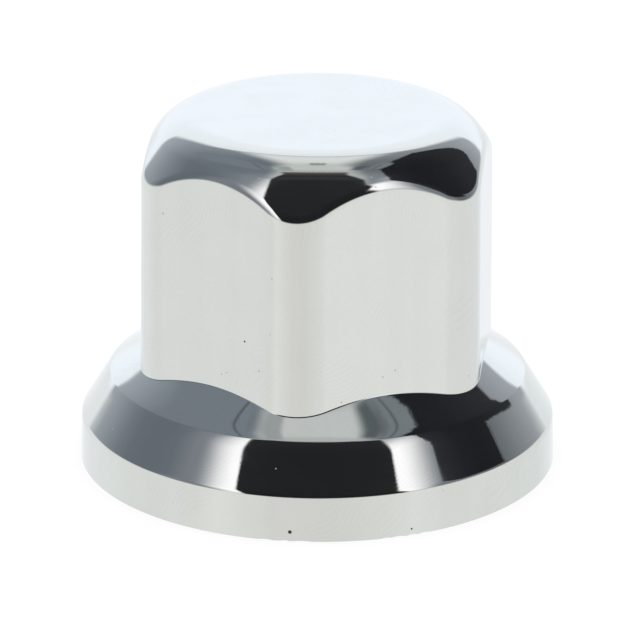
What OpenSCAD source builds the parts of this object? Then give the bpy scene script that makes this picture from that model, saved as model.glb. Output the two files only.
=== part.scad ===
// Push-on cover for a wheel's lug nut: one hollow, chrome-plated plastic moulding.
// A flat-topped hexagonal post with rounded corners stands on a flared round flange. One
// wall runs all the way round, from the rim to the flat top, and the post's outside has
// a little draft, so the wall thickens toward the post's foot.
// Z = 0 is the foot of the rim, and the Z axis is the axis of the nut.

/* [Nut] */
// Width across the flats of the nut that the cover pushes onto
nut_af = 38.1; // [36:0.1:40]
// Gap between the nut's flats and the socket's
nut_gap = 0.35; // [0.2:0.05:0.6]

/* [Wall] */
// Thickness of the moulded wall in the crown, the flange and the top of the post
wall = 2.1; // [1.8:0.1:2.8]

/* [Flange] */
// Diameter of the foot of the rim
rim_d = 61.8; // [59:0.2:66]
// Height of the rim's skirt
rim_h = 5.9; // [4:0.1:8]
// How far the skirt leans in from its foot to its top
rim_lean = 0.2; // [0:0.05:0.5]
// Height of the steep cone above the skirt
cone_h = 5.9; // [4:0.1:8]
// Slope of the steep cone, from level
cone_slope = 57.6; // [54:0.2:66]
// Slope of the shallow ring inside the cone, from level
ring_slope = 36; // [30:0.5:45]
// Rounding of the edge between the skirt and the cone
rim_edge_r = 1.6; // [0.2:0.1:2.4]
// Rounding of the crease between the cone and the ring
crease_r = 1; // [0.5:0.5:6]

/* [Post] */
// Height of the flat top above the foot of the rim
total_h = 46.4; // [42:0.1:54]
// Rounding of the post's six upright corners
corner_r = 7.6; // [5:0.1:10]
// Draft of the post's outside, from upright
draft = 0.65; // [0.25:0.05:1.5]

/* [Crown] */
// Diameter of the flat disc on top
disc_d = 31.2; // [28:0.2:33]
// Radius of the roll from the disc down to the chamfer
roll_r = 6.5; // [4:0.1:8]
// Slope of the chamfer where the roll ends, from level
chamfer_slope = 52; // [46:1:56]
// Slope of the chamfer where it runs out just past the post's corners
runout_slope = 61; // [59:1:76]

/* [Socket] */
// Rounding of the socket's six corners
socket_corner_r = 3; // [2:0.1:4.5]
// How far each grip rib stands out of its flat
rib_h = 0.45; // [0.3:0.05:0.6]
// Radius of a grip rib's rounded nose
rib_r = 1; // [0.7:0.05:1.4]
// Distance between the two grip ribs of one flat
rib_spacing = 11; // [7:0.5:14]

/* [Hidden] */
$fn = 96;
FACES = 6;
FACE_TURN = 360 / FACES;
ROLL_STEP = 4;
EDGE_STEP = 5;
OVERCUT = 1;
BLEND = 0.01;
socket_af = nut_af + 2 * nut_gap;
socket_core = nut_af / 2 - OVERCUT;
post_af = socket_af + 2 * wall;
foot_spread = total_h * tan(draft);
runout_r = corner_centre(post_af, corner_r) + corner_r + OVERCUT;
skirt_slope = atan2(rim_h, rim_lean);
rim_top = [rim_d / 2 - rim_lean, rim_h];
crease = rim_top + cone_h * [-1 / tan(cone_slope), 1];
roll_centre = [disc_d / 2, total_h - roll_r];
roll_end_r = roll_centre[0] + roll_r * sin(chamfer_slope);
bulge_r = (runout_r - roll_end_r) / (sin(runout_slope) - sin(chamfer_slope));
bulge_centre = roll_centre - (bulge_r - roll_r) * normal(chamfer_slope);

// Outward normal, in the section plane, of a surface that falls away at a slope from level
function normal(slope) = [sin(slope), cos(slope)];

// Where the corner between two slopes lands once both are set in by a depth
function set_in(corner, upper, lower, depth) =
    corner - depth * (normal(upper) + normal(lower)) / (1 + normal(upper) * normal(lower));

// Points round a centre, from one slope to a steeper one
function arc(centre, r, from, to, step) =
    let (n = ceil((to - from) / step))
    [for (i = [0:n]) centre + r * normal(from + (to - from) * i / n)];

// A corner between two slopes, rounded to a radius
function rounded(corner, upper, lower, r) =
    arc(set_in(corner, upper, lower, r), r, upper, lower, EDGE_STEP);

// Distance from the axis to the centre of a hexagon's corner rounding
function corner_centre(af, r) = (af / 2 - r) / cos(FACE_TURN / 2);

// Height of the ring's cone at the socket's core, set in by a depth
function core_z(depth) =
    crease[1] + (crease[0] - socket_core) * tan(ring_slope) - depth / cos(ring_slope);

// A hexagon with two of its flats facing along Y, and its corners rounded. Each round
// stands a hair proud of the flats, so that the surfaces cross and don't only touch.
module rounded_hexagon(af, r) {
    centre = corner_centre(af, r);
    polygon([
        for (i = [0:FACES - 1], side = [-1, 1])
            let (turn = i * FACE_TURN, tangent = turn + side * FACE_TURN / 2)
            [centre * cos(turn) + r * cos(tangent), centre * sin(turn) + r * sin(tangent)]
    ]);
    for (i = [0:FACES - 1])
        rotate(i * FACE_TURN)
            translate([centre, 0])
                circle(r + BLEND);
}

// Everything under the crown's surface, set in by a depth
module crown_form(depth) {
    chamfer = arc(bulge_centre, bulge_r - depth, chamfer_slope, runout_slope, ROLL_STEP);
    runout = chamfer[len(chamfer) - 1];
    rotate_extrude()
        polygon(concat(
            [[0, -OVERCUT], [0, total_h - depth]],
            arc(roll_centre, roll_r - depth, 0, chamfer_slope, ROLL_STEP),
            chamfer,
            [[runout[0] + foot_spread, -OVERCUT]]
        ));
}

// The flange's outside, filled in under its skirt, cone and ring
module flange_form() {
    rotate_extrude()
        polygon(concat(
            [[0, 0], [0, core_z(0)], [socket_core, core_z(0)]],
            rounded(crease, ring_slope, cone_slope, crease_r),
            rounded(rim_top, cone_slope, skirt_slope, rim_edge_r),
            [[rim_d / 2, 0]]
        ));
}

// The space under the flange, one wall inside its skirt, cone and ring
module flange_hollow() {
    inner_rim = set_in(rim_top, cone_slope, skirt_slope, wall);
    rotate_extrude()
        polygon([
            [0, -OVERCUT],
            [0, core_z(wall)],
            [socket_core, core_z(wall)],
            set_in(crease, ring_slope, cone_slope, wall),
            inner_rim,
            [inner_rim[0] + (inner_rim[1] + OVERCUT) / tan(skirt_slope), -OVERCUT]
        ]);
}

// Everything past one upright face that leans in by the draft, at its distance at the top
module past_face(turn, to_face) {
    rotate(turn)
        translate([to_face, 0, total_h])
            rotate([0, -draft, 0])
                translate([0, -rim_d / 2, -total_h - OVERCUT])
                    cube([rim_d, rim_d, total_h + 2 * OVERCUT]);
}

// The post's flats, with its corners cut back to where their rounding starts
module post_flats() {
    difference() {
        cylinder(total_h, r = rim_d / 2);
        for (i = [0:FACES - 1]) {
            past_face((i + 0.5) * FACE_TURN, post_af / 2);
            past_face(i * FACE_TURN, corner_centre(post_af, corner_r) + corner_r * cos(FACE_TURN / 2));
        }
    }
}

// The post: flats and corner rounds, as far up as the crown lets them go
module post_form() {
    intersection() {
        union() {
            post_flats();
            for (i = [0:FACES - 1])
                rotate(i * FACE_TURN)
                    translate([corner_centre(post_af, corner_r), 0])
                        cylinder(total_h, corner_r + foot_spread + BLEND, corner_r + BLEND);
        }
        crown_form(0);
    }
}

// The socket's outline: a hexagon with two grip ribs standing out of each flat
module socket_outline() {
    difference() {
        rounded_hexagon(socket_af, socket_corner_r);
        for (i = [0:FACES - 1], side = [-1, 1])
            rotate((i + 0.5) * FACE_TURN)
                translate([socket_af / 2 + rib_r - rib_h, side * rib_spacing / 2])
                    circle(rib_r);
    }
}

// The space for the nut and the end of its stud, one wall below the crown
module socket_hollow() {
    intersection() {
        translate([0, 0, -OVERCUT])
            linear_extrude(total_h)
                socket_outline();
        crown_form(wall);
    }
}

// The whole moulding
module cover() {
    color([0.86, 0.87, 0.87])
        difference() {
            union() {
                flange_form();
                post_form();
            }
            flange_hollow();
            socket_hollow();
        }
}

cover();
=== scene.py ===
"""Looks for a push-on lug nut cover: the plated shell, its finish, and a small studio round it."""

import math

import bpy
import numpy as np
from mathutils import Matrix, Vector


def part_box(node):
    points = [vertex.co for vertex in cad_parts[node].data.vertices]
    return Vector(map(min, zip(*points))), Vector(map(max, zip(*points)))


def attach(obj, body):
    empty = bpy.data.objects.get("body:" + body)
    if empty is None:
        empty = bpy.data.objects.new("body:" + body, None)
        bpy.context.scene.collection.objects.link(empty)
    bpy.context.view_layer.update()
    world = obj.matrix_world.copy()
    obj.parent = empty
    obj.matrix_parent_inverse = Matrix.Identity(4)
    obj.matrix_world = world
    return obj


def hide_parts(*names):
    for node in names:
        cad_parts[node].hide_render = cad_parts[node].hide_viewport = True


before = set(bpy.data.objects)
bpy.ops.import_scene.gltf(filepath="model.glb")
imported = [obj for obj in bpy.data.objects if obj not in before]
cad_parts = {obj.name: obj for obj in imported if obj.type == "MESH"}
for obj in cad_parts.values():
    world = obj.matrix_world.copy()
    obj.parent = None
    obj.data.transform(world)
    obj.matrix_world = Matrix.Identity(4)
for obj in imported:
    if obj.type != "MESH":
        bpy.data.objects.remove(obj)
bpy.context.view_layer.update()        # one moulding, node "cover", on the body "root"
scene = bpy.context.scene


# ---------------------------------------------------------------- the moulding, outside
# One hollow ABS moulding: a hexagonal post with a domed crown on a flared round flange.
# It comes out of the mould in one piece, so its outside is one skin, drawn here as
# columns that each run from the foot of the rim up to the middle of the flat top.
low_corner, high_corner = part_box("cover")
rim_r = -low_corner[0]
total_h = high_corner[2]
rim_h = 0.0059
rim_lean = 0.0002
cone_h = 0.0059
cone_slope = math.radians(58.3)
cone_head_slope = math.radians(52.5)    # what the cone eases to, just below the crease
cone_head = 0.0009       # how far out from the crease the easing starts
ring_slope = math.radians(34.8)
ring_foot_slope = math.radians(39)      # what the ring steepens to at the crease
hollow_r = 0.0255        # the radius where the ring is least steep
ring_hollow = 8300       # how fast it steepens inward from there, per square metre
foot_edge_r = 0.00015
rim_edge_r = 0.0016
crease_r = 0.0006
post_af = 0.043
draft = math.radians(0.65)
corner_r = 0.0076
base_fillet_r = 0.00025
crown_edge_r = 0.0028
disc_r = 0.0156
roll_r = 0.0065
chamfer_slope = math.radians(52)
runout_slope = math.radians(61)
runout_past = 0.001      # how far past the post's corners the chamfer would run out

FACES = 6
FACE_TURN = math.tau / FACES
LEVEL = 0.0
UPRIGHT = math.pi / 2
DOWNWARD = math.pi
CORNER_STEPS = 24
FLAT_STEPS = 60
SKIRT_STEPS = 3
CONE_STEPS = 14
RING_STEPS = 14
WALL_STEPS = 8
CROWN_EDGE_STEPS = 10
BULGE_STEPS = 7
DISC_STEPS = 6
ROUND_STEP = math.radians(4)
FILLET_STEP = math.radians(9)
SETTLING = 4             # rounds that it takes a rolled ball to find its height


def heading(angle):
    """Level directions at these angles round the axis."""
    return np.stack([np.cos(angle), np.sin(angle)], axis=-1)


def facing(slope):
    """In the section plane, out from a surface that falls away at a slope from level."""
    return np.array([math.sin(slope), math.cos(slope)])


def set_in(corner, upper, lower, depth):
    """Where the corner between two slopes lands once both are set in by a depth."""
    both = facing(upper) + facing(lower)
    return np.array(corner) - depth * both / (1 + facing(upper) @ facing(lower))


# The post's outline as columns. Each has the point that its rounding turns about and the
# way that its wall faces, so any inset of the outline is the point plus a share of the way.
corner_reach = (post_af / 2 - corner_r) / math.cos(FACE_TURN / 2)
turning_points, wall_ways = [], []
for corner in range(FACES):
    here, there = heading(corner * FACE_TURN), heading((corner + 1) * FACE_TURN)
    for step in range(CORNER_STEPS):
        turning_points.append(corner_reach * here)
        wall_ways.append(heading((corner + step / CORNER_STEPS - 0.5) * FACE_TURN))
    for step in range(FLAT_STEPS):
        share = step / FLAT_STEPS
        turning_points.append(corner_reach * ((1 - share) * here + share * there))
        wall_ways.append(heading((corner + 0.5) * FACE_TURN))
turning_points, wall_ways = np.array(turning_points), np.array(wall_ways)
COLUMNS = len(turning_points)


def outline(inset):
    """The post's outline at its top, set in by a distance."""
    return turning_points + np.broadcast_to(corner_r - inset, COLUMNS)[:, None] * wall_ways


def spread(height):
    """How far the drafted walls stand out at a height, past where they are at the top."""
    return (total_h - height) * math.tan(draft)


def bearing(points):
    """The angle of each level point round the axis."""
    return np.arctan2(points[:, 1], points[:, 0])


def place(level, height):
    """Points from their place on the level and their height."""
    return np.column_stack([level, np.broadcast_to(height, len(level))])


def tilt(ways, slope):
    """Normals that lean out along these level ways."""
    slope = np.broadcast_to(slope, len(ways))
    return np.column_stack([ways * np.sin(slope)[:, None], np.cos(slope)])


def turned(section_points, section_slopes, bearings):
    """Rows of points and normals for a section turned about the axis."""
    ways = heading(bearings)
    return [
        (place(ways * point[0], point[1]), tilt(ways, slope))
        for point, slope in zip(section_points, section_slopes)
    ]


def arc(centre, radius, first, last, step):
    """Section points and slopes round a centre, from one slope to another."""
    count = max(1, math.ceil(abs(last - first) / step))
    slopes = np.linspace(first, last, count + 1)
    return [np.array(centre) + radius * facing(slope) for slope in slopes], list(slopes)


def divisions(steps):
    """Even shares of a way, without either end."""
    return np.linspace(0, 1, steps + 1)[1:-1]


def between(first, last, steps):
    """What divides the way between two points, or two rows of them, without either."""
    return [(1 - share) * np.array(first) + share * np.array(last) for share in divisions(steps)]


def straight(start, end, slope, steps):
    """Section points and slopes on a straight line, without either end."""
    return between(start, end, steps), [slope] * (steps - 1)


def sweep(first, last, steps):
    """Unit directions that swing evenly from one set to another, without either end."""
    angle = np.arccos(np.clip((first * last).sum(axis=1), -1, 1))[:, None]
    return [
        (np.sin((1 - share) * angle) * first + np.sin(share * angle) * last) / np.sin(angle)
        for share in divisions(steps)
    ]


skirt_slope = math.atan2(rim_h, rim_lean)
rim_top = np.array([rim_r - rim_lean, rim_h])
cone_easing = (math.tan(cone_slope) - math.tan(cone_head_slope)) / cone_head
cone_run = (cone_h + cone_easing * cone_head ** 2 / 2) / math.tan(cone_slope)
crease = rim_top + np.array([-cone_run, cone_h])
ring_easing = (math.tan(ring_foot_slope) - math.tan(ring_slope)) / (crease[0] - hollow_r) ** 2
roll_centre = np.array([disc_r, total_h - roll_r])
roll_end = roll_centre + roll_r * facing(chamfer_slope)
runout_r = corner_reach + corner_r + runout_past
bulge_r = (runout_r - roll_end[0]) / (math.sin(runout_slope) - math.sin(chamfer_slope))
bulge_centre = roll_centre - (bulge_r - roll_r) * facing(chamfer_slope)


def cone_height(radius):
    """Height of the flange's steep cone."""
    head = np.clip(crease[0] + cone_head - radius, 0, None)
    straight_cone = rim_top[1] + (rim_top[0] - radius) * math.tan(cone_slope)
    return straight_cone - cone_easing * head ** 2 / 2


def cone_fall(radius):
    """Slope of the steep cone, which eases off just below the crease."""
    head = np.clip(crease[0] + cone_head - radius, 0, None)
    return np.arctan(math.tan(cone_slope) - cone_easing * head)


def ring_height(radius, depth=0.0):
    """Height of the flange's shallow ring, set in by a depth."""
    hollow = np.clip(hollow_r - radius, 0, None)
    brow = np.clip(radius - hollow_r, 0, None)
    straight_ring = crease[1] + (crease[0] - radius) * math.tan(ring_slope)
    bends = ring_hollow * hollow ** 3 + ring_easing * ((crease[0] - hollow_r) ** 3 - brow ** 3)
    return straight_ring + bends / 3 - depth / math.cos(ring_slope)


def ring_fall(radius):
    """Slope of the ring, which steepens a little near the post and near the crease."""
    hollow = np.clip(hollow_r - radius, 0, None)
    brow = np.clip(radius - hollow_r, 0, None)
    return np.arctan(math.tan(ring_slope) + ring_hollow * hollow ** 2 + ring_easing * brow ** 2)


# The small fillet where the post stands on the ring: a ball rolled round outside the post.
base_ball_z = crease[1]
for _ in range(SETTLING):
    base_ball = outline(-base_fillet_r - spread(base_ball_z))
    ring_end_r = np.linalg.norm(base_ball, axis=1) - base_fillet_r * math.sin(ring_slope)
    ring_end_slope = ring_fall(ring_end_r)
    base_ball_z = ring_height(ring_end_r) + base_fillet_r * np.cos(ring_end_slope)
flange_bearing = bearing(base_ball)
ring_ways = tilt(heading(flange_bearing), ring_end_slope)
wall_normals = tilt(wall_ways, UPRIGHT - draft)

# The soft edge where the walls meet the crown: a ball rolled round inside both.
inner_bulge_r = bulge_r - crown_edge_r
crown_ball_z = roll_end[1]
for _ in range(SETTLING):
    crown_ball = outline(crown_edge_r - spread(crown_ball_z))
    edge_slope = np.arcsin((np.linalg.norm(crown_ball, axis=1) - bulge_centre[0]) / inner_bulge_r)
    crown_ball_z = bulge_centre[1] + inner_bulge_r * np.cos(edge_slope)
crown_bearing = bearing(crown_ball)
crown_ways = tilt(heading(crown_bearing), edge_slope)

rows = []
foot = np.array([rim_r, 0.0])
foot_centre = set_in(foot, skirt_slope, DOWNWARD, foot_edge_r)
foot_arc = arc(foot_centre, foot_edge_r, DOWNWARD, skirt_slope, 4 * ROUND_STEP)
rim_centre = set_in(rim_top, cone_slope, skirt_slope, rim_edge_r)
rim_arc = arc(rim_centre, rim_edge_r, skirt_slope, cone_slope, ROUND_STEP)
crease_centre = set_in(crease, ring_foot_slope, cone_head_slope, crease_r)
crease_arc = arc(crease_centre, crease_r, cone_head_slope, ring_foot_slope, ROUND_STEP)
skirt = straight(foot_arc[0][-1], rim_arc[0][0], skirt_slope, SKIRT_STEPS)
cone_radii = np.array(between(rim_arc[0][-1][0], crease_arc[0][0][0], CONE_STEPS))
cone = list(np.column_stack([cone_radii, cone_height(cone_radii)])), list(cone_fall(cone_radii))
section, slopes = [], []
for points, angles in (foot_arc, skirt, rim_arc, cone, crease_arc):
    section += points
    slopes += angles
rows += turned(section, slopes, flange_bearing)

base_ball_points = place(base_ball, base_ball_z)
flange_ways = heading(flange_bearing)
for radius in between(section[-1][0], ring_end_r, RING_STEPS):
    on_ring = place(flange_ways * radius[:, None], ring_height(radius))
    rows.append((on_ring, tilt(flange_ways, ring_fall(radius))))
fillet_steps = math.ceil((UPRIGHT - ring_slope) / FILLET_STEP)
for ways in [ring_ways, *sweep(ring_ways, wall_normals, fillet_steps)]:
    rows.append((base_ball_points - base_fillet_r * ways, ways))

crown_ball_points = place(crown_ball, crown_ball_z)
wall_foot = base_ball_points - base_fillet_r * wall_normals
wall_head = crown_ball_points + crown_edge_r * wall_normals
rows.append((wall_foot, wall_normals))
rows += [(points, wall_normals) for points in between(wall_foot, wall_head, WALL_STEPS)]
rows.append((wall_head, wall_normals))
for ways in sweep(wall_normals, crown_ways, CROWN_EDGE_STEPS):
    rows.append((crown_ball_points + crown_edge_r * ways, ways))

ways = heading(crown_bearing)
for share in np.linspace(0, 1, BULGE_STEPS + 1):
    slope = edge_slope + (chamfer_slope - edge_slope) * share
    level = ways * (bulge_centre[0] + bulge_r * np.sin(slope))[:, None]
    rows.append((place(level, bulge_centre[1] + bulge_r * np.cos(slope)), tilt(ways, slope)))

roll_points, roll_slopes = arc(roll_centre, roll_r, chamfer_slope, LEVEL, ROUND_STEP)
disc_points, disc_slopes = straight(roll_points[-1], (0, total_h), LEVEL, DISC_STEPS)
rows += turned(roll_points[1:] + disc_points, roll_slopes[1:] + disc_slopes, crown_bearing)
outer_rows = len(rows)


# ---------------------------------------------------------------- the moulding, inside
# The same wall seen from below: a flared mouth under the flange, a hexagonal socket
# with two low grip ribs on each flat, and the underside of the crown at its end.
wall = 0.0021
socket_af = 0.0388
socket_corner_r = 0.003
rib_r = 0.001
rib_h = 0.00045
rib_spacing = 0.011
mouth_edge_r = 0.0004

ACROSS_FOOT = 3
MOUTH_STEPS = 4
SOCKET_STEPS = 6
HOLLOW_STEPS = 5


def socket_radius(bearings):
    """How far the socket reaches from the axis along each bearing."""
    across = (bearings + FACE_TURN / 2) % FACE_TURN - FACE_TURN / 2
    from_flat = FACE_TURN / 2 - np.abs(across)
    flat = socket_af / 2 / np.cos(from_flat)
    reach = (socket_af / 2 - socket_corner_r) / math.cos(FACE_TURN / 2)
    chord = np.clip(socket_corner_r ** 2 - (reach * np.sin(across)) ** 2, 0, None)
    corner = reach * np.cos(across) + np.sqrt(chord)
    in_corner = flat * np.sin(from_flat) > reach * math.sin(FACE_TURN / 2)
    radius = np.where(in_corner, corner, flat)
    rib_centre = np.hypot(socket_af / 2 + rib_r - rib_h, rib_spacing / 2)
    rib_turn = math.atan2(rib_spacing / 2, socket_af / 2 + rib_r - rib_h)
    off_rib = from_flat - rib_turn
    sideways = rib_centre * np.sin(off_rib)
    hit = np.abs(sideways) < rib_r
    nose = rib_centre * np.cos(off_rib) - np.sqrt(np.clip(rib_r ** 2 - sideways ** 2, 0, None))
    return np.where(hit, np.minimum(radius, nose), radius)


def add_inside(level_radius, height):
    """A row of the inside, at a radius and height for each column."""
    level = flange_ways * np.broadcast_to(level_radius, COLUMNS)[:, None]
    rows.append((place(level, height), None))


inner_rim = set_in(rim_top, cone_slope, skirt_slope, wall)
inner_crease = set_in(crease, ring_slope, cone_slope, wall)
inner_foot = (inner_rim[0] + inner_rim[1] / math.tan(skirt_slope), 0.0)
outer_foot = (rim_r - foot_edge_r, 0.0)
inside = [*between(outer_foot, inner_foot, ACROSS_FOOT), inner_foot, inner_rim, inner_crease]
for radius, height in inside:
    add_inside(radius, height)

socket_r = socket_radius(flange_bearing)
mouth_z = ring_height(socket_r, wall)
for share in np.linspace(0, 1, MOUTH_STEPS + 1):
    turn = share * (UPRIGHT - ring_slope)
    radius = socket_r + mouth_edge_r * (1 - math.sin(turn))
    above_mouth = mouth_z + mouth_edge_r * (1 - math.cos(turn) + share)
    add_inside(radius, ring_height(radius, wall) * (1 - share) + above_mouth * share)

hollow_bulge_r = bulge_r - wall
hollow_slope = np.arcsin((socket_r - bulge_centre[0]) / hollow_bulge_r)
hollow_z = bulge_centre[1] + hollow_bulge_r * np.cos(hollow_slope)
socket_foot_z = rows[-1][0][:, 2]
for share in np.linspace(0, 1, SOCKET_STEPS + 1)[1:]:
    add_inside(socket_r, socket_foot_z + (hollow_z - socket_foot_z) * share)
for share in np.linspace(0, 1, HOLLOW_STEPS + 1)[1:]:
    slope = hollow_slope + (chamfer_slope - hollow_slope) * share
    radius = bulge_centre[0] + hollow_bulge_r * np.sin(slope)
    add_inside(radius, bulge_centre[1] + hollow_bulge_r * np.cos(slope))
end_points, _ = arc(roll_centre, roll_r - wall, chamfer_slope, LEVEL, 2 * ROUND_STEP)
disc_under, _ = straight(end_points[-1], (0, total_h - wall), LEVEL, DISC_STEPS)
for radius, height in end_points[1:] + disc_under:
    add_inside(radius, height)


# ---------------------------------------------------------------- one skin from both
# The two sides are joined across the flat foot of the rim, and each closes in a point on
# the axis: the middle of the top, and the middle of its underside.
points = np.concatenate([row[0] for row in rows])

# The edge of the foot has been knocked, and stands a hair higher for a millimetre or two.
# Each knock is a bearing in degrees, with its half width and its height in millimetres.
KNOCKS = [
    (-65.1, 0.8, 0.10), (-60.4, 0.6, 0.12), (-56.9, 0.9, 0.12), (-55.0, 0.5, 0.08),
    (-36.6, 0.7, 0.10), (-33.7, 0.9, 0.13), (-30.1, 0.6, 0.12), (-27.0, 0.8, 0.10),
]
knocked_h = 0.0005
outermost = np.hypot(points[:, 0], points[:, 1]) > rim_r - 2 * knocked_h
lowness = np.clip(1 - points[:, 2] / knocked_h, 0, 1) * outermost
for degrees, half_width, height in KNOCKS:
    along = (bearing(points) - math.radians(degrees)) * rim_r * 1000 / half_width
    points[:, 2] += np.clip(1 - along ** 2, 0, 1) * lowness * height / 1000
points[:, 2] = np.clip(points[:, 2], 0, total_h)
top_middle, under_middle = len(points), len(points) + 1
points = np.vstack([points, [[0, 0, total_h], [0, 0, total_h - wall]]])


def at(row, column):
    """The number of the point in a row and column."""
    return row * COLUMNS + column % COLUMNS


def faces_between(low, high):
    """Faces that join two rows, and look out where the rows run up the outside."""
    return [
        (at(low, column), at(low, column + 1), at(high, column + 1), at(high, column))
        for column in range(COLUMNS)
    ]


BRIGHT, SATIN = 0, 1    # the order in which the two finishes are given to the mesh below
last_row = len(rows) - 1
faces, finishes = [], []
for row in range(outer_rows - 1):
    faces += faces_between(row, row + 1)
for column in range(COLUMNS):
    faces.append((at(outer_rows - 1, column), at(outer_rows - 1, column + 1), top_middle))
inward = [0, *range(outer_rows, len(rows))]
for row, next_row in list(zip(inward, inward[1:]))[:ACROSS_FOOT]:
    faces += faces_between(next_row, row)
finishes += [BRIGHT] * len(faces)
for row, next_row in list(zip(inward, inward[1:]))[ACROSS_FOOT:]:
    faces += faces_between(next_row, row)
for column in range(COLUMNS):
    faces.append((at(last_row, column + 1), at(last_row, column), under_middle))
finishes += [SATIN] * (len(faces) - len(finishes))

mesh = bpy.data.meshes.new("plated_cover")
mesh.from_pydata([Vector(point) for point in points], [], faces)
mesh.polygons.foreach_set("material_index", finishes)
mesh.polygons.foreach_set("use_smooth", [True] * len(faces))

normals = np.zeros((len(points), 3))
for index, row in enumerate(rows[:outer_rows]):
    normals[index * COLUMNS:(index + 1) * COLUMNS] = row[1]
normals[top_middle] = (0, 0, 1)
foot_row = outer_rows + ACROSS_FOOT - 1
socket_end_row = outer_rows + len(inside) + MOUTH_STEPS + SOCKET_STEPS
sharp_rows = {foot_row, foot_row + 1, foot_row + 2, socket_end_row}
sharp_edges = [
    edge.index for edge in mesh.edges
    if edge.vertices[0] // COLUMNS == edge.vertices[1] // COLUMNS
    and edge.vertices[0] // COLUMNS in sharp_rows
]
for index in sharp_edges:
    mesh.edges[index].use_edge_sharp = True
mesh.normals_split_custom_set([tuple(normals[loop.vertex_index]) for loop in mesh.loops])

cover = bpy.data.objects.new("plated_cover", mesh)
scene.collection.objects.link(cover)
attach(cover, "root")
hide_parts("cover")


# ---------------------------------------------------------------- the bright plate
# Decorative chrome over buffed copper and nickel on ABS. It is a near mirror with faint
# arcs from the buffing wheel, a slow ripple from the moulding, dust and a few small pits.
PLATE = (0.86, 0.87, 0.87)


def add(tree, kind, inputs=None, **settings):
    """A node with its settings and inputs, where an input is a value or another socket."""
    node = tree.nodes.new(kind)
    for name, value in settings.items():
        setattr(node, name, value)
    for name, value in (inputs or {}).items():
        if isinstance(value, bpy.types.NodeSocket):
            tree.links.new(value, node.inputs[name])
        else:
            node.inputs[name].default_value = value
    return node


def work_out(tree, operation, *values):
    """The output of a Math node."""
    return add(tree, "ShaderNodeMath", dict(enumerate(values)), operation=operation).outputs[0]


def combine(tree, operation, *values):
    """The output of a Vector Math node, a vector or one value."""
    node = add(tree, "ShaderNodeVectorMath", dict(enumerate(values)), operation=operation)
    return node.outputs["Value" if operation in ("DISTANCE", "DOT_PRODUCT") else "Vector"]


def noise(tree, place_on, scale, detail):
    """The outputs of a Noise Texture."""
    inputs = {"Vector": place_on, "Scale": scale, "Detail": detail}
    return add(tree, "ShaderNodeTexNoise", inputs).outputs


def ease(tree, value, low, high, start=0.0, end=1.0):
    """A smooth step of a value, from start at low to end at high."""
    node = add(
        tree, "ShaderNodeMapRange",
        {"Value": value, "From Min": low, "From Max": high, "To Min": start, "To Max": end},
        interpolation_type="SMOOTHSTEP",
    )
    return node.outputs["Result"]


def blend(tree, share, first, second):
    """A colour part way from one to another."""
    node = add(tree, "ShaderNodeMix", {"Factor": share}, data_type="RGBA")
    for name, value in (("A", first), ("B", second)):
        if isinstance(value, bpy.types.NodeSocket):
            tree.links.new(value, node.inputs[name])
        else:
            node.inputs[name].default_value = value
    return node.outputs["Result"]


def new_group(name, inputs, outputs):
    """An empty shader node group with named sockets: (name, usual value)."""
    tree = bpy.data.node_groups.new(name, "ShaderNodeTree")
    for label, usual in inputs:
        socket = tree.interface.new_socket(label, in_out="INPUT", socket_type="NodeSocketFloat")
        socket.default_value = usual
    for label in outputs:
        tree.interface.new_socket(label, in_out="OUTPUT", socket_type="NodeSocketFloat")
    return tree, tree.nodes.new("NodeGroupInput").outputs, tree.nodes.new("NodeGroupOutput").inputs


# Cloudy patches and a fine grain, for how the plate took in one place and another.
cloudy, given, result = new_group(
    "cloudy_plating", [("Patch Size", 0.006), ("Grain Size", 0.0004)], ["Patches", "Grain"],
)
place_on = add(cloudy, "ShaderNodeTexCoord").outputs["Object"]
for label, size in (("Patches", "Patch Size"), ("Grain", "Grain Size")):
    cloud = noise(cloudy, place_on, work_out(cloudy, "DIVIDE", 1.0, given[size]), 3.0)["Fac"]
    cloudy.links.new(ease(cloudy, cloud, 0.35, 0.65), result[label])

# Specks of dust that have settled here and there.
dusty, given, result = new_group(
    "dust_specks", [("Spacing", 0.0035), ("Size", 0.0001)], ["Specks"],
)
place_on = add(dusty, "ShaderNodeTexCoord").outputs["Object"]
closeness = work_out(dusty, "DIVIDE", 1.0, given["Spacing"])
cells = add(dusty, "ShaderNodeTexVoronoi", {"Vector": place_on, "Scale": closeness})
away = work_out(dusty, "MULTIPLY", cells.outputs["Distance"], given["Spacing"])
dusty.links.new(work_out(dusty, "LESS_THAN", away, given["Size"]), result["Specks"])

bright_plate = bpy.data.materials.new("bright_plate")
bright_plate.use_nodes = True
tree = bright_plate.node_tree
shader = tree.nodes["Principled BSDF"]
position = add(tree, "ShaderNodeTexCoord").outputs["Object"]
tone = add(tree, "ShaderNodeGroup", node_tree=cloudy)
specks = add(tree, "ShaderNodeGroup", node_tree=dusty).outputs["Specks"]

# The wheel's arcs come and go over each face; the post also has faint upright streaks.
WAVE_LENGTH = 0.314      # a Wave Texture's own, at a scale of 1
ARC_SPACING = 0.0005
ARC_BEND = 0.009
WHEEL_PLACE = (-0.03, -0.02, 0.06)
bend = noise(tree, position, 75.0, 1.0)["Color"]
bend = combine(tree, "MULTIPLY", bend, (ARC_BEND, ARC_BEND, ARC_BEND))
from_wheel = combine(tree, "SUBTRACT", position, WHEEL_PLACE)
arcs = add(
    tree, "ShaderNodeTexWave",
    {
        "Vector": combine(tree, "ADD", from_wheel, bend), "Scale": WAVE_LENGTH / ARC_SPACING,
        "Distortion": 1.5, "Detail": 2.0, "Detail Scale": 0.3,
    },
    wave_type="RINGS", rings_direction="SPHERICAL",
).outputs["Fac"]
where = ease(tree, noise(tree, position, 110.0, 1.0)["Fac"], 0.5, 0.7)
arcs = work_out(tree, "MULTIPLY", arcs, where)
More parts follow.
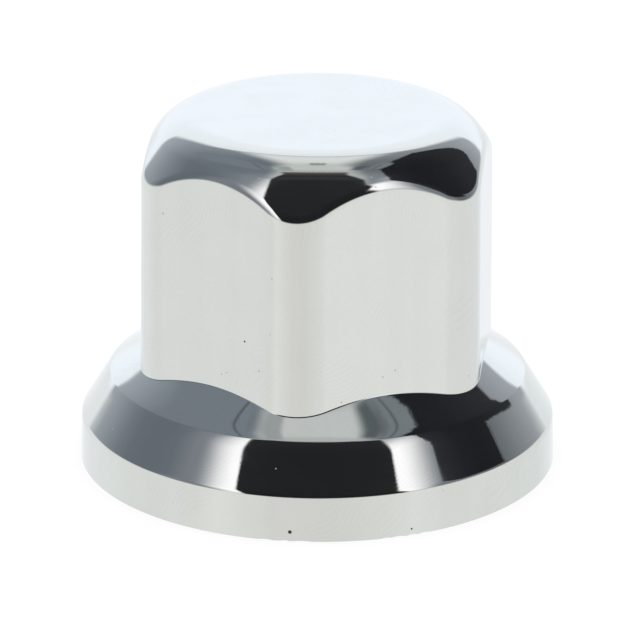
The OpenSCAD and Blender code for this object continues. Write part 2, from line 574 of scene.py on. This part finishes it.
UPRIGHT_STREAKS = (260, 260, 9)    # fine round the post and long up it
drawn_up = combine(tree, "MULTIPLY", position, UPRIGHT_STREAKS)
streaks = ease(tree, noise(tree, drawn_up, 1.0, 2.0)["Fac"], 0.4, 0.7)

# Small pits in the plate, sunk in by the bump below; their near-black colour is painted shade of
# the hollow. On the skirt each has its bearing in degrees, its height and how far it reaches, and
# on the flat that faces -Y it has its way across, height and reach.
SKIRT_PITS = [(-59.2, 0.0013, 0.0003), (-30.4, 0.0009, 0.00015)]
FLAT_PITS = [(0.005, 0.0227, 0.00016), (-0.0081, 0.0368, 0.0001), (0.0073, 0.0193, 0.00009)]
pits_and_painted_shade = 0.0
for turn, height, reach in SKIRT_PITS:
    centre = (*(heading(math.radians(turn)) * rim_r), height)
    pit_and_painted_shade = ease(tree, combine(tree, "DISTANCE", position, centre), reach, reach * 0.6)
    pits_and_painted_shade = work_out(tree, "MAXIMUM", pits_and_painted_shade, pit_and_painted_shade)
for across, height, reach in FLAT_PITS:
    centre = (across, -post_af / 2 - spread(height), height)
    pit_and_painted_shade = ease(tree, combine(tree, "DISTANCE", position, centre), reach, reach * 0.6)
    pits_and_painted_shade = work_out(tree, "MAXIMUM", pits_and_painted_shade, pit_and_painted_shade)

WORN = (0.80, 0.81, 0.80, 1)
colour = blend(tree, tone.outputs["Patches"], (*PLATE, 1), (0.85, 0.862, 0.86, 1))
colour = blend(tree, work_out(tree, "MULTIPLY", streaks, 0.35), colour, WORN)
colour = blend(tree, work_out(tree, "MULTIPLY", tone.outputs["Grain"], 0.2), colour, WORN)
colour = blend(tree, work_out(tree, "MULTIPLY", arcs, 0.3), colour, (0.79, 0.80, 0.795, 1))
colour = blend(tree, specks, colour, (0.5, 0.5, 0.49, 1))
# Painted shade: near black in the middle of each pit's hollow.
colour = blend(tree, pits_and_painted_shade, colour, (0.03, 0.03, 0.03, 1))
tree.links.new(colour, shader.inputs["Base Color"])
bare = work_out(tree, "MAXIMUM", specks, pits_and_painted_shade)
tree.links.new(work_out(tree, "SUBTRACT", 1.0, bare), shader.inputs["Metallic"])
rough = ease(tree, tone.outputs["Patches"], 0, 1, 0.025, 0.05)
rough = work_out(tree, "ADD", rough, work_out(tree, "MULTIPLY", arcs, 0.03))
rough = work_out(tree, "MAXIMUM", rough, work_out(tree, "MULTIPLY", pits_and_painted_shade, 0.6))
tree.links.new(rough, shader.inputs["Roughness"])

# The slow ripple is about a hundredth of a millimetre deep, and the arcs a thirtieth of that.
ripple = noise(tree, position, 120.0, 1.0)["Fac"]
swell = add(tree, "ShaderNodeBump", {"Strength": 1.0, "Distance": 0.000012, "Height": ripple})
fine = work_out(tree, "ADD", arcs, work_out(tree, "MULTIPLY", tone.outputs["Grain"], 0.5))
fine = work_out(tree, "SUBTRACT", fine, work_out(tree, "MULTIPLY", pits_and_painted_shade, 40.0))
relief = add(
    tree, "ShaderNodeBump",
    {"Strength": 1.0, "Distance": 0.0000004, "Height": fine, "Normal": swell.outputs["Normal"]},
)
tree.links.new(relief.outputs["Normal"], shader.inputs["Normal"])
cover.data.materials.append(bright_plate)

# Inside, the copper was never buffed, so the plate keeps the satin look of the moulding.
inner_plate = bpy.data.materials.new("inner_plate")
inner_plate.use_nodes = True
tree = inner_plate.node_tree
shader = tree.nodes["Principled BSDF"]
tone = add(tree, "ShaderNodeGroup", {"Patch Size": 0.009, "Grain Size": 0.0003}, node_tree=cloudy)
specks = add(tree, "ShaderNodeGroup", {"Spacing": 0.002, "Size": 0.00015}, node_tree=dusty)
specks = specks.outputs["Specks"]
grain = tone.outputs["Grain"]
colour = blend(tree, tone.outputs["Patches"], (0.66, 0.67, 0.67, 1), (0.52, 0.525, 0.52, 1))
colour = blend(tree, work_out(tree, "MULTIPLY", grain, 0.3), colour, (0.45, 0.45, 0.44, 1))
colour = blend(tree, specks, colour, (0.25, 0.24, 0.22, 1))
tree.links.new(colour, shader.inputs["Base Color"])
tree.links.new(work_out(tree, "SUBTRACT", 1.0, specks), shader.inputs["Metallic"])
tree.links.new(ease(tree, tone.outputs["Patches"], 0, 1, 0.26, 0.4), shader.inputs["Roughness"])
relief = add(tree, "ShaderNodeBump", {"Strength": 1.0, "Distance": 0.000004, "Height": grain})
tree.links.new(relief.outputs["Normal"], shader.inputs["Normal"])
cover.data.materials.append(inner_plate)


# ---------------------------------------------------------------- the floor
# A plain white table top that takes the cover's own soft shadow. The plate mirrors the
# studio's pale lower half in its place, so the two can be lit apart.
TABLE_GLOW = 0.76        # brings what the camera sees of the table up to plain white
half_table = 1.5
table_corners = [
    (x * half_table, y * half_table, 0) for x, y in ((-1, -1), (1, -1), (1, 1), (-1, 1))
]
floor_mesh = bpy.data.meshes.new("table_top")
floor_mesh.from_pydata(table_corners, [], [(0, 1, 2, 3)])
floor = bpy.data.objects.new("table_top", floor_mesh)
floor.visible_glossy = False
scene.collection.objects.link(floor)

table = bpy.data.materials.new("table_top")
table.use_nodes = True
tree = table.node_tree
shader = tree.nodes["Principled BSDF"]
fibres = add(tree, "ShaderNodeTexNoise", {"Scale": 900.0, "Detail": 3.0}).outputs["Fac"]
paper = blend(tree, fibres, (0.30, 0.30, 0.30, 1), (0.33, 0.33, 0.33, 1))
tree.links.new(paper, shader.inputs["Base Color"])
shader.inputs["Emission Color"].default_value = (1, 1, 1, 1)
seen = add(tree, "ShaderNodeLightPath").outputs["Is Camera Ray"]
tree.links.new(work_out(tree, "MULTIPLY", seen, TABLE_GLOW), shader.inputs["Emission Strength"])
shader.inputs["Roughness"].default_value = 1.0
shader.inputs["Specular IOR Level"].default_value = 0.0
floor_mesh.materials.append(table)


# ---------------------------------------------------------------- the studio
# A small white tent with grey sides, two soft lamps, and black cards beside and behind the
# camera, as for any bright metal. Only mirrored rays see them: the camera sees plain white.
VIEW_TURN = math.radians(-52.99)    # which way the camera stands from the cover


def shown(red, green, blue):
    """The light that shows as this screen colour once the plate has mirrored it."""
    screen = np.array([red, green, blue]) / 255
    linear = np.where(screen <= 0.04045, screen / 12.92, ((screen + 0.055) / 1.055) ** 2.4)
    return (*(linear / np.array(PLATE)), 1)


def hundredths(value):
    """A plain value for a ramp, which holds values up to 1."""
    return (value / 100, value / 100, value / 100, 1)


world = bpy.data.worlds.new("tent")
scene.world = world
world.use_nodes = True
tree = world.node_tree
ray = add(tree, "ShaderNodeTexCoord").outputs["Generated"]
ray = add(
    tree, "ShaderNodeVectorRotate", {"Vector": ray, "Angle": -(VIEW_TURN + math.pi / 2)},
    rotation_type="Z_AXIS",
).outputs[0]

# The tent in plan, measured in degrees from straight up: to the right, and nearer the camera.
upward = add(tree, "ShaderNodeSeparateXYZ", {0: ray}).outputs["Z"]
from_top = work_out(tree, "MULTIPLY", work_out(tree, "ARCCOSINE", upward), math.degrees(1))
level = combine(tree, "NORMALIZE", combine(tree, "MULTIPLY", ray, (1, -1, 0)))
plan = combine(tree, "MULTIPLY", level, from_top)
right, near, _ = add(tree, "ShaderNodeSeparateXYZ", {0: plan}).outputs
turn = work_out(tree, "MULTIPLY", work_out(tree, "ARCTAN2", right, near), math.degrees(1))
off_centre = work_out(tree, "ABSOLUTE", turn)
out_from_middle = work_out(tree, "ABSOLUTE", right)
spot = combine(tree, "ADD", plan, (0, 0, 1))    # the 1 takes up a card side's distance


def torn(size, depth):
    """Places in the plan moved about, so that a card's edge looks torn."""
    wander = noise(tree, plan, 1 / size, 3.0)["Color"]
    wander = combine(tree, "MULTIPLY", wander, (depth, depth, 0))
    return combine(tree, "ADD", spot, combine(tree, "SUBTRACT", wander, (depth / 2, depth / 2, 0)))


def card(sides, spot=spot):
    """A mask that is 1 on a card. Each side has its start (right, near) and its softness."""
    mask = 1.0
    for (x0, y0, soft), (x1, y1, _) in zip(sides, sides[1:] + sides[:1]):
        length = math.hypot(x1 - x0, y1 - y0)
        inward = ((y0 - y1) / length, (x1 - x0) / length)
        edge = (*inward, -(inward[0] * x0 + inward[1] * y0))
        side = ease(tree, combine(tree, "DOT_PRODUCT", spot, edge), -soft, soft)
        mask = work_out(tree, "MULTIPLY", mask, side)
    return mask


def ramp(value, stops, colour=shown):
    """What a value gives on its way through stops, each a value and a colour's parts."""
    low, high = stops[0][0], stops[-1][0]
    along = add(tree, "ShaderNodeMapRange", {"Value": value, "From Min": low, "From Max": high})
    node = add(tree, "ShaderNodeValToRGB", {"Fac": along.outputs[0]})
    elements = node.color_ramp.elements
    while len(elements) < len(stops):
        elements.new(1.0)
    for element, (at_value, seen) in zip(elements, stops):
        element.position = (at_value - low) / (high - low)
        element.color = colour(*seen)
    return node.outputs["Color"]


# The white roof, from low at the back to where it ends over the camera, and a small hole in it.
view = ramp(near, [
    (-95, (238, 244, 248)), (-70, (236, 243, 250)), (-60, (232, 239, 244)),
    (-50, (231, 237, 240)), (-39, (224, 229, 231)), (-36.5, (182, 188, 186)),
    (-34, (208, 214, 213)), (-26, (215, 219, 217)), (-18, (210, 213, 209)),
    (-9, (188, 192, 190)), (-3, (188, 193, 191)), (3.5, (187, 191, 190)),
    (5.5, (173, 177, 177)), (9, (172, 176, 175)),
])
hole = card([(-2.7, -15.4, 0.4), (2, -15.4, 0.4), (2, -8.9, 0.4), (-2.7, -8.9, 0.4)])
view = blend(tree, hole, view, shown(140, 145, 140))

# Grey sides that leave a gap between them, wide at the back and narrow overhead.
half_gap = ramp(near, [
    (-95, (85,)), (-75, (60,)), (-65, (54,)), (-60, (47.5,)), (-55, (35,)), (-50, (31.5,)),
    (-45, (27,)), (-40, (22.5,)), (-35.5, (13.5,)), (-30, (13,)), (-20, (11.2,)),
    (-10, (10.6,)), (-5, (12.3,)), (0, (15.7,)), (6, (16.5,)), (12, (18.5,)), (20, (24,)),
    (40, (32,)), (68, (60,)),
], hundredths)
from_gap_middle = work_out(tree, "ABSOLUTE", work_out(tree, "ADD", right, 1.0))
half_gap = work_out(tree, "MULTIPLY", half_gap, 100.0)
past_gap = work_out(tree, "SUBTRACT", from_gap_middle, half_gap)
left_side = ramp(near, [
    (-60, (163, 170, 176)), (-50, (150, 158, 165)), (-40, (135, 143, 150)), (-30, (120, 128, 135)),
    (-20, (108, 116, 123)), (-10, (104, 112, 119)), (0, (103, 111, 118)), (10, (106, 115, 122)),
    (20, (124, 130, 136)), (40, (121, 128, 134)), (50, (135, 141, 147)), (60, (146, 151, 156)),
])
right_side = ramp(near, [
    (-60, (162, 168, 173)), (-50, (150, 156, 161)), (-40, (138, 144, 149)), (-30, (125, 131, 136)),
    (-20, (110, 116, 121)), (-10, (102, 107, 111)), (0, (99, 104, 108)), (5, (102, 107, 111)),
    (10, (112, 118, 123)), (20, (125, 131, 136)), (35, (120, 125, 130)), (45, (144, 150, 155)),
    (55, (160, 165, 169)),
])
sides = blend(tree, ease(tree, right, -5, 5), left_side, right_side)
sides = blend(tree, ease(tree, out_from_middle, 46, 60, 0.0, 0.12), sides, (0, 0, 0, 1))
view = blend(tree, ease(tree, past_gap, -5, 5), view, sides)
pale_patch = card([
    (-44, -28, 3), (-32, -28, 3), (-18.5, -6, 2), (-18.5, 5, 3), (-27, 5, 3), (-44, -16, 3),
])
view = blend(tree, pale_patch, view, shown(113, 121, 128))
pale_fold = card([(-47, 11, 1.5), (-68, 16, 2), (-67, 20, 1.5), (-47, 15, 2)])
view = blend(tree, pale_fold, view, shown(131, 137, 143))
hem = card([(-15.5, -4, 1.5), (-10, -4, 1), (-10, 7, 2), (-15.5, 7, 1.5)])
view = blend(tree, hem, view, shown(149, 154, 155))
dark_hem = card([(12.5, -6, 2), (17.5, -6, 1.2), (17.5, 4.5, 2), (12.5, 4.5, 2)])
view = blend(tree, dark_hem, view, shown(84, 91, 95))

# A lamp on each side, bright next to the black and fading outwards.
left_lamp = card([
    (-54.5, 64, 11), (-54.5, 34.2, 11), (-33.6, 24.4, 3.5), (-15, 30, 2), (-15, 64, 8),
])
view = blend(tree, left_lamp, view, shown(254, 254, 254))
right_lamp = card([(10, 3.7, 2), (28.3, 3.7, 11), (63.4, 50.6, 7), (20, 94, 2), (10, 94, 2)])
right_lamp = work_out(tree, "MULTIPLY", right_lamp, ease(tree, from_top, 37, 53))
view = blend(tree, right_lamp, view, shown(254, 254, 254))

# A black card to the right with torn edges, a smaller one under it, and a pale flap.
ragged = torn(1.2, 3)
dark = card([
    (23.5, -31, 1), (30, -35.3, 1), (42, -41, 1), (58, -44.8, 1), (64.5, -45.2, 1),
    (66.5, -38, 0.8), (66.5, 20, 2), (60, 23.6, 1.5), (53.6, 23, 1), (46, 22.2, 1),
    (38.5, 19.8, 1), (33, 15, 1), (29, 9.5, 1), (23.5, 0, 0.8),
], ragged)
lower = card([
    (60, -15, 0.8), (73.3, -16.8, 1), (73.8, 8, 1), (71, 22, 2), (60, 25, 1.5),
], torn(1, 7))
black = ramp(near, [
    (-45, (45, 47, 50)), (-30, (39, 41, 44)), (-15, (31, 33, 36)), (0, (28, 30, 33)),
    (10, (31, 33, 36)), (20, (40, 42, 46)), (30, (58, 61, 66)),
])
view = blend(tree, work_out(tree, "MAXIMUM", dark, lower), view, black)
flap = card([
    (19.5, -11, 1.5), (24.2, -13, 0.6), (26.7, -9, 0.6), (26.5, -3, 0.6), (25, 1.5, 1),
    (19.5, 4, 1),
], ragged)
view = blend(tree, flap, view, shown(114, 121, 125))
for seam in (-22.6, 21.7):
    low, high = seam - 0.3, seam + 0.3
    line = card([(low, -9, 0.5), (high, -9, 0.5), (high, 3, 0.5), (low, 3, 0.5)])
    view = blend(tree, line, view, shown(74, 80, 86))

# Black cloth behind the camera, in three pieces.
front = ramp(near, [
    (8, (172, 173, 172)), (9, (150, 150, 149)), (10, (110, 108, 107)), (12, (87, 84, 82)),
    (15, (61, 59, 58)), (20, (43, 44, 45)), (25, (53, 54, 56)), (30, (38, 39, 41)),
    (50, (31, 32, 34)), (60, (29, 30, 32)),
])
cloths = (
    [(-16, 9.5, 1.5), (12.5, 9.5, 1.5), (13.5, 19, 1.5), (-16, 19, 1.5)],
    [
        (-15, 14, 1.5), (11, 14, 1.2), (36.8, 38.3, 1.2), (42.5, 50, 2), (46, 60, 2), (46, 100, 2),
        (-51, 100, 3), (-48, 75, 3), (-44.3, 60, 2), (-40.6, 48, 1.5), (-37.2, 39.2, 1),
    ],
    [(20, 47, 2), (38, 47, 1.5), (57, 59, 3), (60, 75, 3), (45, 95, 3), (20, 95, 2)],
)
for cloth in cloths:
    view = blend(tree, card(cloth), view, front)

# The pale table all round below them.
brink = ramp(off_centre, [
    (0, (84,)), (60, (84,)), (80, (85,)), (90, (86,)), (120, (88,)), (180, (89.5,)),
], hundredths)
past_brink = work_out(tree, "SUBTRACT", from_top, work_out(tree, "MULTIPLY", brink, 100.0))
table_left = ramp(off_centre, [
    (0, (207, 208, 203)), (20, (209, 210, 206)), (35, (213, 215, 211)), (48, (219, 221, 216)),
    (60, (213, 216, 211)), (75, (214, 217, 214)), (90, (212, 215, 211)), (110, (215, 219, 216)),
    (120, (218, 222, 221)), (138, (219, 223, 223)), (155, (224, 228, 230)),
    (167, (231, 236, 238)), (176, (240, 243, 246)),
])
table_right = ramp(off_centre, [
    (0, (207, 208, 203)), (15, (209, 211, 206)), (35, (213, 215, 210)), (48, (218, 221, 217)),
    (58, (214, 217, 213)), (70, (213, 216, 212)), (90, (213, 215, 211)), (115, (212, 216, 214)),
    (135, (213, 217, 216)), (155, (221, 226, 227)), (167, (228, 232, 234)),
    (176, (236, 240, 242)),
])
table_seen = blend(tree, ease(tree, turn, -5, 5), table_left, table_right)
view = blend(tree, ease(tree, past_brink, -4, 4), view, table_seen)

mirrored = add(tree, "ShaderNodeLightPath").outputs["Is Glossy Ray"]
light = blend(tree, mirrored, (1, 1, 1, 1), view)
tree.links.new(light, tree.nodes["Background"].inputs["Color"])
tree.nodes["Background"].inputs["Strength"].default_value = 1.0


# ---------------------------------------------------------------- the camera
# A long lens from well back, about twenty degrees above the table, with one corner of the
# post almost straight ahead.
VIEW_RISE = math.radians(19.753)
VIEW_DISTANCE = 0.5672
AIM_HEIGHT = 0.02593
LENS_DOWN = math.radians(0.7507)
LENS_RIGHT = math.radians(0.0255)
LENS_ROLL = math.radians(0.285)
level_way = heading(VIEW_TURN)
aim = Vector((0, 0, AIM_HEIGHT))
back = Vector((*(level_way * math.cos(VIEW_RISE)), math.sin(VIEW_RISE)))
turned_lens = (
    back.to_track_quat("Z", "Y").to_matrix()
    @ Matrix.Rotation(LENS_ROLL, 3, "Z")
    @ Matrix.Rotation(-LENS_DOWN, 3, "X")
    @ Matrix.Rotation(-LENS_RIGHT, 3, "Y")
)
lens = bpy.data.cameras.new("long_lens")
lens.sensor_width = 36
lens.lens = 247.5
lens.clip_start = 0.01
lens.clip_end = 20
camera = bpy.data.objects.new("long_lens", lens)
camera.matrix_world = Matrix.Translation(aim + back * VIEW_DISTANCE) @ turned_lens.to_4x4()
scene.collection.objects.link(camera)
scene.camera = camera
scene.view_settings.view_transform = "Standard"
